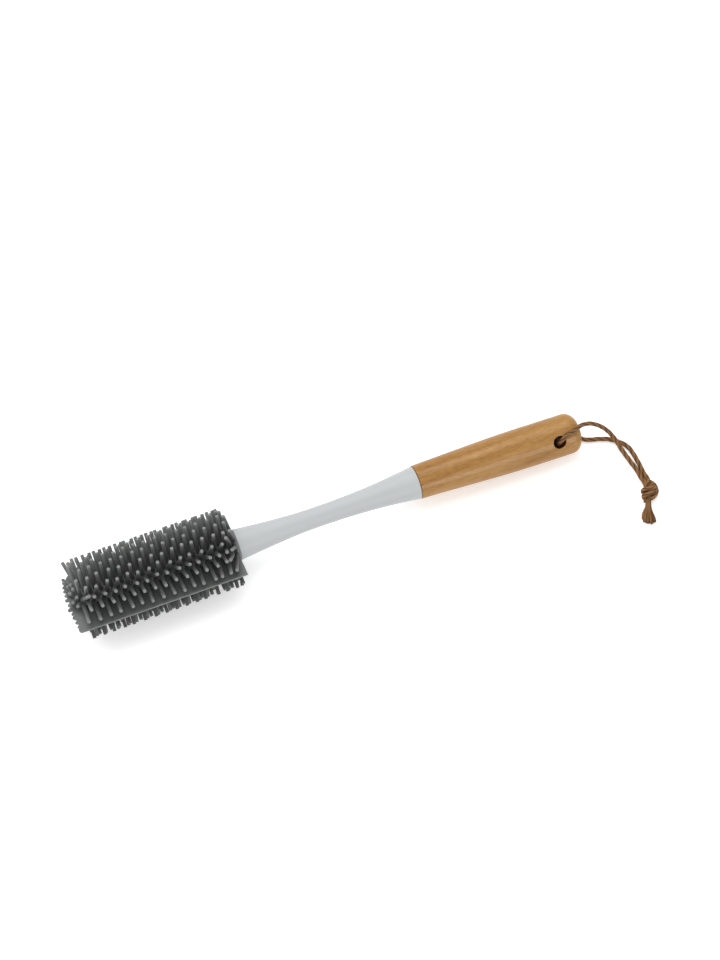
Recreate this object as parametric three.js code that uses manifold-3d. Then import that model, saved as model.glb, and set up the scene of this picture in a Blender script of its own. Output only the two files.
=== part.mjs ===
// A bottle brush lying on a table: a soft silicone head on a waisted plastic neck, a turned wooden
// grip, and a knotted cord loop through the grip's cross hole. Millimetres, +Z up.
// The brush is drawn on its own axis, from the tip corner of its wiper plate at x = 0 to the butt of
// the grip, and then laid down on its bristles and its grip.

import * as THREE from "three";
import { mergeVertices } from "three/addons/utils/BufferGeometryUtils.js";
import Module from "manifold-3d";

const wasm = await Module();
wasm.setup();

const { degToRad } = THREE.MathUtils;

// Lengths along the axis, measured from the tip corner of the wiper plate.
const SLEEVE_START = 6.0;
const SLEEVE_END = 98.4;
const FIN_END = 100.6;
const COLLAR_START = 98.7;
const COLLAR_END = 101.3;
const NECK_START = 101.6;
const NECK_END = 214.2;
const GRIP_START = 214.5;
const BUTT_END = 318.1;

// The silicone head. Between the near and the far fin, rows of bristles stand above and below.
const UPPER_ROWS = 11;
const UPPER_NEAR_ROWS = 6;
const UPPER_ROW_ANGLE = degToRad(14.6);
const LOWER_ROWS = 10;
const LOWER_FAR_ROWS = 5;
const LOWER_ROW_ANGLE = Math.PI / (LOWER_ROWS + 1);
const FIN_ANGLE = LOWER_ROW_ANGLE;
const BRISTLES_PER_ROW = 15;
const BRISTLE_PITCH = 6.22;
const FIRST_BRISTLE_X = 7.1;
const BRISTLE_TIP_RADIUS = 22.9;
const BRISTLE_ROOT_RADIUS = 5.3;
const BRISTLE_ROOT_HALF_DIAGONAL = 1.4;
const BRISTLE_TIP_HALF_DIAGONAL = 1.15;
const BRISTLE_SIDES = 4;
const WALL_STEPS = 6;
const SLEEVE_OUTER_RADIUS = 6.0;
const SLEEVE_INNER_RADIUS = 4.7;
const TIP_START = 2.0;
const TIP_END = 5.7;
const FIN_THICKNESS = 0.9;
const FIN_OUTER_RADIUS = 22.8;
const FIN_INNER_RADIUS = 6.3;
const FIN_WEB_DEPTH = 1.7;
const NEAR_FIN_CORNER = 1.5;
const FAR_FIN_CORNER = 16.5;
const FIN_CORNER_STEPS = 6;
const TIP_BOW = 1.4;
const NEAR_TOOTH_REACH = 21.3;
const FAR_TOOTH_REACH = 13.5;
const TOOTH_PITCH = 3.3;
const TOOTH_DEPTH = 1.2;
const TOOTH_FOOT = 0.9;
const TOOTH_CROWN_START = 1.3;
const TOOTH_CROWN_END = 2.9;
const TIP_STEPS = 6;
const COLLAR_ROOT_RADIUS = 7.0;
const COLLAR_RADIUS = 9.1;
const COLLAR_SHOULDER = [1.0, 8.7];
const COLLAR_RIM_START = 1.6;

// The plastic neck: waist profile as [distance along the axis, radius].
const CORE_RADIUS = 4.4;
const CORE_START = 6.0;
const NECK_EDGE_ROUND = 0.5;
const NECK_WAIST = [
  [102.1, 9.25],
  [120, 7.62],
  [138, 6.37],
  [153, 6.05],
  [172, 6.4],
  [190, 7.4],
  [205, 8.9],
  [NECK_END, 10.05],
];
const NECK_RINGS = 14;
const SPIGOT_LENGTH = 26;
const SPIGOT_RADIUS = 5.4;
const SPIGOT_RIBS = 3;
const SPIGOT_RIB_HEIGHT = 0.6;
const SPIGOT_RIB_FRONT = 0.2;
const SPIGOT_RIB_BACK = 1.6;
const SPIGOT_CHAMFER = 0.6;

// The wooden grip: swell profile as [distance along the axis, radius].
const GRIP_EDGE = 0.4;
const GRIP_SWELL = [
  [GRIP_START + GRIP_EDGE, 10.3],
  [228, 10.68],
  [242, 11.22],
  [256, 11.76],
  [270, 12.18],
  [284, 12.35],
];
const GRIP_RADIUS = 12.35;
const GRIP_RINGS = 10;
const GRIP_BEND = degToRad(1.4);
const GRIP_BEND_LENGTH = 14;
const BUTT_ROUND = 7;
const BUTT_STEPS = 7;
const SOCKET_RADIUS = 6.3;
const SOCKET_LENGTH = 26.6;
const HOLE_X = 302.4;
const HOLE_ANGLE = degToRad(51.3);
const HOLE_RADIUS = 3.9;
const HOLE_CHAMFER = 0.5;
const HOLE_SEGMENTS = 24;
const CUT_MARGIN = 2;

// The hanging cord. Its two strands start in the middle of the cross hole, meet in a knot on the
// table and end in two frayed tails. The routes are points on the table's own axes.
const CORD_RADIUS = 1.2;
const CORD_SIDES = 8;
const NEAR_STRAND = [
  [143.8, -2.1, 13.0],
  [143.6, -5.3, 14.7],
  [143.7, -8.3, 17.2],
  [145.0, -9.1, 21.5],
  [146.9, -8.9, 24.7],
  [149.7, -7.8, 26.0],
  [153.7, -7.0, 25.6],
  [157.0, -5.9, 25.5],
  [161.1, -5.0, 24.4],
  [166.2, -5.3, 22.2],
  [171.9, -7.0, 17.5],
  [176.9, -9.8, 11.2],
  [180.3, -14.6, 5.6],
  [182.0, -20.8, 2.6],
  [183.5, -28.5, 1.5],
  [184.9, -37.3, 1.5],
  [185.9, -44.6, 2.8],
];
const NEAR_STEPS = 34;
const FAR_STRAND = [
  [143.8, -1.8, 12.6],
  [143.7, 0.9, 9.4],
  [143.8, 3.5, 6.3],
  [144.5, 6.1, 4.4],
  [146.6, 8.0, 3.2],
  [149.7, 8.6, 2.5],
  [153.3, 7.8, 1.9],
  [156.6, 5.6, 1.5],
  [159.4, 2.2, 1.4],
  [161.1, -1.6, 1.4],
  [163.3, -4.7, 1.4],
  [167.1, -6.8, 1.4],
  [172.3, -8.3, 1.4],
  [177.9, -10.7, 1.4],
  [182.9, -14.6, 1.4],
  [186.3, -19.0, 1.4],
  [187.9, -25.0, 1.4],
  [188.5, -32.0, 1.4],
  [188.6, -38.5, 1.7],
  [188.5, -43.6, 2.8],
];
const FAR_STEPS = 34;
const KNOT_CENTRE = [185.1, -51.4, 4.3];
const KNOT_HEADING = degToRad(-115);
const KNOT_CORE = [5.8, 3.6, 3.2];
const KNOT_WRAPS = 3;
const KNOT_WRAP_SPACING = 3.1;
const KNOT_WRAP_RADIUS = 3.7;
const KNOT_WRAP_LEAN = degToRad(28);
const KNOT_FLATTENING = 0.85;
const KNOT_CORE_SEGMENTS = [14, 8];
const KNOT_WRAP_SEGMENTS = [6, 16];
const TAIL_LENGTH = 14;
const TAIL_START_RADIUS = 0.95;
const TAIL_END_RADIUS = 2.0;
const TAIL_SPREAD = degToRad(5);

const ROUND_SEGMENTS = 44;
const HEAD_SEGMENTS = 32;
const GAP = 0.3;
const WELD_DISTANCE = 1e-4;

const X_AXIS = new THREE.Vector3(1, 0, 0);

// A plain, non-metallic surface in its own colour.
function finish(color, roughness) {
  return new THREE.MeshStandardMaterial({ color, roughness, metalness: 0 });
}
const silicone = finish("#5b5d5b", 0.55);
const plastic = finish("#d3d7d8", 0.35);
const wood = finish("#bd8c56", 0.5);
const waxedCord = finish("#7d5f41", 0.75);

// Unit vector square to the axis, raised by an angle above the table on the near side (-Y).
function radial(angle) {
  return new THREE.Vector3(0, -Math.cos(angle), Math.sin(angle));
}

// A geometry with only positions, shared vertices merged and triangles of no area left out.
function welded(geometry) {
  const bare = geometry.clone();
  bare.deleteAttribute("normal");
  bare.deleteAttribute("uv");
  const merged = mergeVertices(bare, WELD_DISTANCE);
  const index = merged.index.array;
  const kept = [];
  for (let i = 0; i < index.length; i += 3) {
    const [a, b, c] = index.slice(i, i + 3);
    if (a !== b && b !== c && c !== a) kept.push(a, b, c);
  }
  merged.setIndex(kept);
  return merged;
}

function toSolid(geometry) {
  const merged = welded(geometry);
  const vertProperties = new Float32Array(merged.attributes.position.array);
  const triVerts = new Uint32Array(merged.index.array);
  return new wasm.Manifold(new wasm.Mesh({ numProp: 3, vertProperties, triVerts }));
}

function toGeometry(solid) {
  const mesh = solid.getMesh();
  const geometry = new THREE.BufferGeometry();
  geometry.setAttribute("position", new THREE.BufferAttribute(mesh.vertProperties, 3));
  geometry.setIndex(new THREE.BufferAttribute(mesh.triVerts, 1));
  geometry.computeVertexNormals();
  return geometry;
}

// A solid turned round the brush's axis from a profile of [distance along the axis, radius].
function turned(profile, segments) {
  const points = profile.map(([x, radius]) => new THREE.Vector2(radius, x));
  return welded(new THREE.LatheGeometry(points, segments).rotateZ(-Math.PI / 2));
}

// Points of a smooth profile through a few stations.
function smoothProfile(stations, count) {
  const curve = new THREE.SplineCurve(stations.map(([x, radius]) => new THREE.Vector2(x, radius)));
  return curve.getPoints(count).map((point) => [point.x, point.y]);
}

// A flat outline in the plane across the brush's axis, drawn out along the axis.
function extrudedAlongAxis(shape, start, length) {
  const geometry = new THREE.ExtrudeGeometry(shape, { depth: length, bevelEnabled: false });
  const turn = new THREE.Matrix4().makeBasis(
    new THREE.Vector3(0, 1, 0),
    new THREE.Vector3(0, 0, 1),
    X_AXIS,
  );
  return geometry.applyMatrix4(turn).translate(start, 0, 0);
}

// A stretch of round wall along the head, clear of its neighbours by half a gap on each side.
function sleeveWall(startAngle, endAngle, innerRadius, outerRadius) {
  const outline = [];
  for (const radius of [outerRadius, innerRadius]) {
    const margin = GAP / 2 / radius;
    const turn = endAngle - startAngle - 2 * margin;
    const arc = [];
    for (let i = 0; i <= WALL_STEPS; i++) {
      const at = radial(startAngle + margin + (i / WALL_STEPS) * turn);
      arc.push(new THREE.Vector2(at.y * radius, at.z * radius));
    }
    outline.push(...(radius === outerRadius ? arc : arc.reverse()));
  }
  const shape = new THREE.Shape(outline);
  return toSolid(extrudedAlongAxis(shape, SLEEVE_START, SLEEVE_END - SLEEVE_START));
}

// One bristle, a slightly tapered four-sided strand that points out from the axis.
function bristle(x, angle) {
  const length = BRISTLE_TIP_RADIUS - BRISTLE_ROOT_RADIUS;
  return new THREE.CylinderGeometry(
    BRISTLE_TIP_HALF_DIAGONAL,
    BRISTLE_ROOT_HALF_DIAGONAL,
    length,
    BRISTLE_SIDES,
  )
    .rotateY(Math.PI / BRISTLE_SIDES)
    .translate(0, BRISTLE_ROOT_RADIUS + length / 2, 0)
    .rotateX(Math.PI - angle)
    .translate(x, 0, 0);
}

// Some rows of bristles of one half of the head, on their slice of the sleeve. A half's rows are
// evenly spaced about its middle and numbered from its first fin, and every second one is shifted
// by half a pitch.
function bristleSlice(half, firstRow, endRow) {
  const rowAngle = (row) => half.fin + Math.PI / 2 + (row - (half.rows - 1) / 2) * half.spacing;
  const start = firstRow === 0 ? half.fin : rowAngle(firstRow - 0.5);
  const end = endRow === half.rows ? half.fin + Math.PI : rowAngle(endRow - 0.5);
  const solids = [sleeveWall(start, end, SLEEVE_INNER_RADIUS, SLEEVE_OUTER_RADIUS)];
  for (let row = firstRow; row < endRow; row++) {
    const shift = row % 2 === 0 ? 0 : BRISTLE_PITCH / 2;
    for (let i = 0; i < BRISTLES_PER_ROW; i++) {
      const x = FIRST_BRISTLE_X + shift + i * BRISTLE_PITCH;
      solids.push(toSolid(bristle(x, rowAngle(row))));
    }
  }
  const room = sleeveWall(start, end, SLEEVE_INNER_RADIUS, 2 * BRISTLE_TIP_RADIUS);
  return toGeometry(wasm.Manifold.union(solids).intersect(room));
}

// Where the wiper plate's edge at the tip lies along the axis, at a distance across from the axis.
function tipEdge(across, corner) {
  const bow = TIP_BOW * ((across / FIN_OUTER_RADIUS) ** 2 - 1);
  const past = Math.max(across - (FIN_OUTER_RADIUS - corner), 0);
  return bow + corner - Math.sqrt(corner ** 2 - past ** 2);
}

// A flat wiper fin along the sleeve. It runs on round the tip, where its edge has short teeth.
function wiperFin(angle, corner, toothReach) {
  const inner = GAP / 2;
  const teeth = Math.floor((toothReach - inner) / TOOTH_PITCH);
  const toothed = inner + teeth * TOOTH_PITCH;
  const shape = new THREE.Shape();
  shape.moveTo(FIN_WEB_DEPTH, inner);
  shape.lineTo(FIN_WEB_DEPTH, FIN_INNER_RADIUS);
  shape.lineTo(SLEEVE_END, FIN_INNER_RADIUS);
  shape.lineTo(SLEEVE_END, COLLAR_RADIUS + GAP);
  shape.lineTo(FIN_END, COLLAR_RADIUS + GAP);
  shape.lineTo(FIN_END, FIN_OUTER_RADIUS);
  for (let i = 0; i <= FIN_CORNER_STEPS; i++) {
    const turn = (i / FIN_CORNER_STEPS) * (Math.PI / 2);
    const at = toothed + (FIN_OUTER_RADIUS - toothed) * Math.cos(turn);
    shape.lineTo(tipEdge(at, corner), at);
  }
  for (let tooth = teeth - 1; tooth >= 0; tooth--) {
    const base = inner + tooth * TOOTH_PITCH;
    shape.lineTo(tipEdge(base + TOOTH_CROWN_END, corner), base + TOOTH_CROWN_END);
    shape.lineTo(tipEdge(base + TOOTH_CROWN_START, corner), base + TOOTH_CROWN_START);
    shape.lineTo(tipEdge(base + TOOTH_FOOT, corner) + TOOTH_DEPTH, base + TOOTH_FOOT);
    shape.lineTo(tipEdge(base, corner) + TOOTH_DEPTH, base);
  }
  shape.closePath();
  const outward = radial(angle);
  const across = new THREE.Vector3().crossVectors(X_AXIS, outward);
  const place = new THREE.Matrix4().makeBasis(X_AXIS, outward, across);
  return new THREE.ExtrudeGeometry(shape, { depth: FIN_THICKNESS, bevelEnabled: false })
    .translate(0, 0, -FIN_THICKNESS / 2)
    .applyMatrix4(place);
}

// The rounded end of the sleeve.
function headTip() {
  const profile = [];
  for (let i = 0; i <= TIP_STEPS; i++) {
    const turn = (i / TIP_STEPS) * (Math.PI / 2);
    profile.push([
      TIP_END - (TIP_END - TIP_START) * Math.cos(turn),
      SLEEVE_OUTER_RADIUS * Math.sin(turn),
    ]);
  }
  profile.push([TIP_END, 0]);
  return turned(profile, HEAD_SEGMENTS);
}

// The rim at the open end of the head, which butts against the neck.
function headCollar() {
  const [shoulderLength, shoulderRadius] = COLLAR_SHOULDER;
  return turned(
    [
      [COLLAR_START, SLEEVE_INNER_RADIUS],
      [COLLAR_START, COLLAR_ROOT_RADIUS],
      [COLLAR_START + shoulderLength, shoulderRadius],
      [COLLAR_START + COLLAR_RIM_START, COLLAR_RADIUS],
      [COLLAR_END, COLLAR_RADIUS],
      [COLLAR_END, SLEEVE_INNER_RADIUS],
      [COLLAR_START, SLEEVE_INNER_RADIUS],
    ],
    HEAD_SEGMENTS,
  );
}

// The neck with its core rod in the head and its ribbed spigot in the grip.
function neck() {
  const profile = [
    [CORE_START, 0],
    [CORE_START, CORE_RADIUS],
    [NECK_START, CORE_RADIUS],
    [NECK_START, NECK_WAIST[0][1] - NECK_EDGE_ROUND],
    ...smoothProfile(NECK_WAIST, NECK_RINGS),
    [NECK_END, SPIGOT_RADIUS],
  ];
  const ribPitch = SPIGOT_LENGTH / (SPIGOT_RIBS + 1);
  for (let rib = 1; rib <= SPIGOT_RIBS; rib++) {
    const x = NECK_END + rib * ribPitch;
    profile.push([x - SPIGOT_RIB_FRONT, SPIGOT_RADIUS]);
    profile.push([x, SPIGOT_RADIUS + SPIGOT_RIB_HEIGHT]);
    profile.push([x + SPIGOT_RIB_BACK, SPIGOT_RADIUS]);
  }
  profile.push([NECK_END + SPIGOT_LENGTH, SPIGOT_RADIUS - SPIGOT_CHAMFER]);
  profile.push([NECK_END + SPIGOT_LENGTH, 0]);
  return turned(profile, ROUND_SEGMENTS);
}

// Where a point of the straight grip goes once its axis bends gently aside near the neck.
function bendGrip(point) {
  const along = point.x - GRIP_START;
  const share = THREE.MathUtils.clamp(along / GRIP_BEND_LENGTH, 0, 1);
  const angle = GRIP_BEND * share;
  const bent = Math.min(Math.max(along, 0), GRIP_BEND_LENGTH);
  const straight = along - bent;
  const axisX = GRIP_START + bent + straight * Math.cos(GRIP_BEND);
  const axisY = -(bent * angle) / 2 - straight * Math.sin(GRIP_BEND);
  const x = axisX + point.y * Math.sin(angle);
  const y = axisY + point.y * Math.cos(angle);
  return new THREE.Vector3(x, y, point.z);
}

function bentGeometry(geometry) {
  const positions = geometry.attributes.position;
  const point = new THREE.Vector3();
  for (let i = 0; i < positions.count; i++) {
    point.fromBufferAttribute(positions, i);
    const moved = bendGrip(point);
    positions.setXYZ(i, moved.x, moved.y, moved.z);
  }
  return geometry;
}

// The cross hole, with a chamfer at each mouth.
function crossHole() {
  const reach = GRIP_RADIUS + CUT_MARGIN;
  const chamfer = HOLE_CHAMFER + CUT_MARGIN;
  const mouthRadius = HOLE_RADIUS + chamfer;
  const bore = new THREE.CylinderGeometry(HOLE_RADIUS, HOLE_RADIUS, 2 * reach, HOLE_SEGMENTS);
  const mouth = new THREE.CylinderGeometry(mouthRadius, HOLE_RADIUS, chamfer, HOLE_SEGMENTS);
  mouth.translate(0, reach - chamfer / 2, 0);
  const farMouth = mouth.clone().rotateX(Math.PI);
  const place = (geometry) => geometry.rotateX(Math.PI - HOLE_ANGLE).translate(HOLE_X, 0, 0);
  return wasm.Manifold.union([bore, mouth, farMouth].map((geometry) => toSolid(place(geometry))));
}

// The turned grip, bent, with its socket for the spigot and its cross hole.
function grip() {
  const profile = [
    [GRIP_START, 0],
    [GRIP_START, GRIP_SWELL[0][1] - GRIP_EDGE],
    ...smoothProfile(GRIP_SWELL, GRIP_RINGS),
  ];
  for (let i = 0; i <= BUTT_STEPS; i++) {
    const turn = (i / BUTT_STEPS) * (Math.PI / 2);
    profile.push([
      BUTT_END - BUTT_ROUND + BUTT_ROUND * Math.sin(turn),
      GRIP_RADIUS - BUTT_ROUND + BUTT_ROUND * Math.cos(turn),
    ]);
  }
  profile.push([BUTT_END, 0]);
  const socket = turned(
    [
      [GRIP_START - CUT_MARGIN, 0],
      [GRIP_START - CUT_MARGIN, SOCKET_RADIUS],
      [GRIP_START + SOCKET_LENGTH, SOCKET_RADIUS],
      [GRIP_START + SOCKET_LENGTH, 0],
    ],
    ROUND_SEGMENTS,
  );
  const body = toSolid(turned(profile, ROUND_SEGMENTS)).subtract(crossHole());
  const bent = toSolid(bentGeometry(toGeometry(body)));
  return toGeometry(bent.subtract(toSolid(socket)));
}

// One strand of the cord, a round tube along its route.
function strand(route, steps) {
  const path = new THREE.CatmullRomCurve3(route.map((point) => new THREE.Vector3(...point)));
  const corners = [];
  for (let side = 0; side < CORD_SIDES; side++) {
    const turn = (side / CORD_SIDES) * 2 * Math.PI;
    corners.push(new THREE.Vector2(CORD_RADIUS * Math.cos(turn), CORD_RADIUS * Math.sin(turn)));
  }
  const section = new THREE.Shape(corners);
  return new THREE.ExtrudeGeometry(section, { steps, extrudePath: path, bevelEnabled: false });
}

// The knot: slanted wraps of cord round a core, drawn along +X.
function knot() {
  const solids = [toSolid(new THREE.SphereGeometry(1, ...KNOT_CORE_SEGMENTS).scale(...KNOT_CORE))];
  for (let wrap = 0; wrap < KNOT_WRAPS; wrap++) {
    const x = (wrap - (KNOT_WRAPS - 1) / 2) * KNOT_WRAP_SPACING;
    const ring = new THREE.TorusGeometry(KNOT_WRAP_RADIUS, CORD_RADIUS, ...KNOT_WRAP_SEGMENTS)
      .rotateY(Math.PI / 2)
      .rotateZ(KNOT_WRAP_LEAN)
      .scale(1, 1, KNOT_FLATTENING)
      .translate(x, 0, 0);
    solids.push(toSolid(ring));
  }
  return toGeometry(wasm.Manifold.union(solids));
}

// A frayed tail, wider at its loose end, drawn along +X from the knot.
function tail() {
  return new THREE.CylinderGeometry(TAIL_END_RADIUS, TAIL_START_RADIUS, TAIL_LENGTH, CORD_SIDES)
    .rotateZ(-Math.PI / 2)
    .translate(TAIL_LENGTH / 2, 0, 0);
}

function piece(name, geometry, material) {
  const mesh = new THREE.Mesh(geometry, material);
  mesh.name = name;
  return mesh;
}

// The brush on its own axis.
const brush = new THREE.Group();
const upper = { fin: FIN_ANGLE, rows: UPPER_ROWS, spacing: UPPER_ROW_ANGLE };
const lower = { fin: FIN_ANGLE + Math.PI, rows: LOWER_ROWS, spacing: LOWER_ROW_ANGLE };
const nearFin = wiperFin(upper.fin, NEAR_FIN_CORNER, NEAR_TOOTH_REACH);
const farFin = wiperFin(lower.fin, FAR_FIN_CORNER, FAR_TOOTH_REACH);
brush.add(piece("bristles_upper_near", bristleSlice(upper, 0, UPPER_NEAR_ROWS), silicone));
brush.add(piece("bristles_upper_far", bristleSlice(upper, UPPER_NEAR_ROWS, UPPER_ROWS), silicone));
brush.add(piece("bristles_lower_far", bristleSlice(lower, 0, LOWER_FAR_ROWS), silicone));
brush.add(piece("bristles_lower_near", bristleSlice(lower, LOWER_FAR_ROWS, LOWER_ROWS), silicone));
brush.add(piece("wiper_fin_near", nearFin, silicone));
brush.add(piece("wiper_fin_far", farFin, silicone));
brush.add(piece("head_tip", headTip(), silicone));
brush.add(piece("head_collar", headCollar(), silicone));
brush.add(piece("neck", neck(), plastic));
brush.add(piece("grip", grip(), wood));

// Lying on the table, the brush rests on the last bristles of its two lowest rows and on its grip.
const lastBristleX = FIRST_BRISTLE_X + (BRISTLES_PER_ROW - 0.5) * BRISTLE_PITCH;
const lowestRowHeight = BRISTLE_TIP_RADIUS * Math.cos(LOWER_ROW_ANGLE / 2);
const lowestRowsApart = 2 * BRISTLE_TIP_RADIUS * Math.sin(LOWER_ROW_ANGLE / 2);
const gripContactX = BUTT_END - BUTT_ROUND;
const restTilt = Math.atan((lowestRowHeight - GRIP_RADIUS) / (gripContactX - lastBristleX));
const restRoll = Math.atan(((BRISTLE_PITCH / 2) * Math.tan(restTilt)) / lowestRowsApart);
brush.rotation.set(restRoll, restTilt, 0, "YXZ");

// The part's origin is on the table, under the middle of the brush.
const box = new THREE.Box3().setFromObject(brush, true);
const middle = box.getCenter(new THREE.Vector3());
brush.position.set(-middle.x, -middle.y, -box.min.z);

// The cord's knot lies on the table with its tails behind it.
const knotGroup = new THREE.Group();
knotGroup.position.set(...KNOT_CENTRE);
knotGroup.rotation.z = KNOT_HEADING;
knotGroup.add(piece("cord_knot", knot(), waxedCord));
for (const [name, side] of [["near", -1], ["far", 1]]) {
  const end = piece(`cord_tail_${name}`, tail(), waxedCord);
  const aside = side * (TAIL_START_RADIUS + GAP / 2);
  end.position.set(KNOT_CORE[0] + GAP, aside, TAIL_END_RADIUS - KNOT_CENTRE[2]);
  end.rotation.z = side * TAIL_SPREAD;
  knotGroup.add(end);
}

const part = new THREE.Group();
part.add(brush);
part.add(piece("cord_near", strand(NEAR_STRAND, NEAR_STEPS), waxedCord));
part.add(piece("cord_far", strand(FAR_STRAND, FAR_STEPS), waxedCord));
part.add(knotGroup);

export default part;
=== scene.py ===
"""The looks of a bottle brush that lies on a pale table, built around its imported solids.

The brush has a grey silicone head, a pale plastic neck, a turned wooden grip and a waxed cotton cord.
Its pieces are drawn about the brush's own axis, which runs along +X from the tip of the head, and
are then laid in the part's frame. Lengths are in metres, angles in radians.
"""

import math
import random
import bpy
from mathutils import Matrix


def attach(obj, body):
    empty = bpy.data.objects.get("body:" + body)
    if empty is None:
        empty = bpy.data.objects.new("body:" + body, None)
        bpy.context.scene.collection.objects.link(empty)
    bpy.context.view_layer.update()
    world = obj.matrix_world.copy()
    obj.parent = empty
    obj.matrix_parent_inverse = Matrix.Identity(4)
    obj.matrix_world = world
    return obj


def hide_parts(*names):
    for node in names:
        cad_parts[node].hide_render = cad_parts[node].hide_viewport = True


bl_info = {
    "name": "Bottle brush",
    "version": (1, 0, 0),
    "blender": (4, 5, 0),
    "location": "3D View > Sidebar > Brush",
    "description": "Models a silicone bottle brush with a wooden grip and a hanging cord",
    "category": "Object",
}

import bmesh
import bpy
import numpy as np
from mathutils import Matrix, Vector

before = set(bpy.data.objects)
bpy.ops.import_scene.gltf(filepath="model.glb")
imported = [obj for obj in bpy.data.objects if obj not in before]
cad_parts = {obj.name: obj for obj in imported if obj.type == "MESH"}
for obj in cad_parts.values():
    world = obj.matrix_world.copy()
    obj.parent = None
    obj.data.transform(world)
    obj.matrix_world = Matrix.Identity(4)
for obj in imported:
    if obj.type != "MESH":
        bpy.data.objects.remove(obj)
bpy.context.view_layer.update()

MM = 0.001
BODY = "root"
MERGE_DISTANCE = 0.001 * MM
# Edges sharper than this stay sharp in the shading. A bristle has few sides, which are shaded as one.
SHARP_EDGE = math.radians(40)
BRISTLE_EDGE = math.radians(55)
BRISTLE_SEED = 11
YARN_SEED = 5

# Places along the axis, from the tip of the head.
DOME_END = 6.0 * MM
CORE_START = 6.0 * MM
SLEEVE_END = 98.4 * MM
COLLAR_START = 98.7 * MM
COLLAR_END = 101.5 * MM
NECK_START = 101.6 * MM
NECK_END = 214.2 * MM
GRIP_START = 214.5 * MM
BUTT_END = 318.1 * MM
# The dome at the tip is flatter than a half ball.
DOME_SQUEEZE = 2 / 3

# The neck's waist and the grip's swell, as (place along the axis, radius) in millimetres.
NECK_WAIST = (
    (102.1, 9.25), (120, 7.62), (138, 6.37), (153, 6.05),
    (172, 6.4), (190, 7.4), (205, 8.9), (214.2, 10.05),
)
GRIP_SWELL = (
    (214.9, 10.3), (228, 10.68), (242, 11.22),
    (256, 11.76), (270, 12.18), (284, 12.35),
)

# How far the rows above the fins are combed aside, in degrees, at the tip of the head and at the collar.
COMBED_ROWS = {
    1: (0, -2), 2: (3.5, 0.5), 3: (4.5, 1.5), 4: (5, 1.5),
    5: (6, 3), 6: (7, 4), 7: (6, 3),
}
# Rows that lean along the axis as a whole, in degrees: towards the grip or, if negative, the tip. Rows
# below the fins have negative numbers.
LEANING_ROWS = {-8: -3.7}
# Bristles that are bent out of line: (row, place in the row), and the lean, the bend aside and the curl
# in degrees. A curl goes the same way as a lean.
BENT_BRISTLES = {
    (2, 0): (-3, 3, 0), (3, 0): (13, 9, 0), (4, 0): (1, 6, 0),
    (5, 0): (-3, 6, 0), (7, 0): (-5, 6, 0), (8, 0): (-6, 0, 0),
    (9, 0): (-8, 0, -3), (10, 0): (-3, 0, 0), (9, 1): (-6, 0, 0),
    (11, 1): (-4, 0, 0), (10, 1): (-2, 0, 0), (1, 11): (-3, -2, 0),
    (1, 12): (-3, -2, 0), (1, 13): (-5, -2, 0), (1, 14): (-9.5, -2, 0),
    (1, 15): (-18, -2, 0), (2, 14): (-4, 0.5, -24), (3, 14): (-6, 2, 0),
    (3, 15): (-17.7, 3.5, 0), (4, 14): (-6, 5, -8), (5, 15): (-9.2, 1.7, 0),
    (7, 15): (-7.1, 0.1, 0), (8, 14): (-3, 0, 0), (9, 15): (-13.2, -8.4, 0),
    (10, 14): (-3, 0, 0), (11, 15): (-12.5, -1.9, 0), (-1, 0): (-20, 0, 0),
}
# The short bristles round the dome: the tilt from the axis and the turn from the fin in degrees, and
# the reach in millimetres.
DOME_BRISTLES = (
    (77, 32, 11.6), (76, 60, 11.6), (78, 88, 11.6), (76, 114, 11.6),
    (69, 142, 14.2), (62, 46, 11.6), (64, 84, 11.6), (62, 122, 11.6),
    (42, 40, 11.6), (40, 90, 11.6), (50, 142, 12.5),
)

# A level goes from 0, deep among the bristles, to 1 at the tips: wear and dust, and painted shade towards
# the roots. The bristles under the brush are painted darker, as painted shade. The first roots of a row
# and the roots on the dome are painted paler, as painted light.
UNDERSIDE_SHADE = 0.6
LIT_FIRST_ROOTS = {0: 0.6, 1: 0.25}
LIT_DOME_ROOTS = 0.7
# The plate's level on its rim, which is wear and a painted highlight; its painted shade, darker towards
# the sleeve, at a distance in millimetres from the axis; and how much paler it is at a place along it.
RIM_WEAR_AND_HIGHLIGHT = 0.98
PLATE_SHADE = ((6.0, 0.0), (13.0, 0.05), (16.5, 0.2), (19.5, 0.42), (21.7, 0.62), (22.8, 0.74))
PLATE_END_PALER = ((3.0, 0.9), (10.0, 0.0), (94.0, 0.0), (99.5, 0.92))

# The routes of the cord's two strands from the middle of the cross hole, in millimetres.
NEAR_STRAND = (
    (143.8, -2.1, 13.0), (143.6, -5.3, 14.7), (143.7, -8.3, 17.2), (145.0, -9.1, 21.5),
    (146.9, -8.9, 24.7), (149.7, -7.8, 26.0), (153.7, -7.0, 25.6), (157.0, -5.9, 25.5),
    (161.1, -5.0, 24.4), (166.2, -5.3, 22.2), (171.9, -7.0, 17.5), (176.9, -9.8, 11.2),
    (180.3, -14.6, 5.6), (182.0, -20.8, 2.6), (183.7, -28.5, 1.5), (184.9, -35.4, 1.8),
    (185.2, -41.6, 2.3), (185.5, -46.5, 3.4),
)
FAR_STRAND = (
    (143.8, -1.8, 12.6), (143.7, 0.9, 9.4), (143.8, 3.5, 6.3), (144.5, 6.1, 4.4),
    (146.6, 8.0, 3.2), (149.7, 8.6, 2.5), (153.3, 7.8, 1.9), (156.6, 5.6, 1.5),
    (159.4, 2.2, 1.4), (161.1, -1.6, 1.4), (163.3, -4.7, 1.4), (167.1, -6.8, 1.4),
    (172.3, -8.3, 1.4), (177.9, -10.7, 1.4), (182.9, -14.6, 1.4), (186.3, -19.0, 1.4),
    (187.6, -25.0, 1.4), (188.0, -32.0, 1.4), (187.9, -38.5, 1.7), (188.1, -43.6, 2.8),
)
KNOT_CENTRE = (185.1, -51.4, 4.3)
KNOT_HEADING = math.radians(-115)
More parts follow.
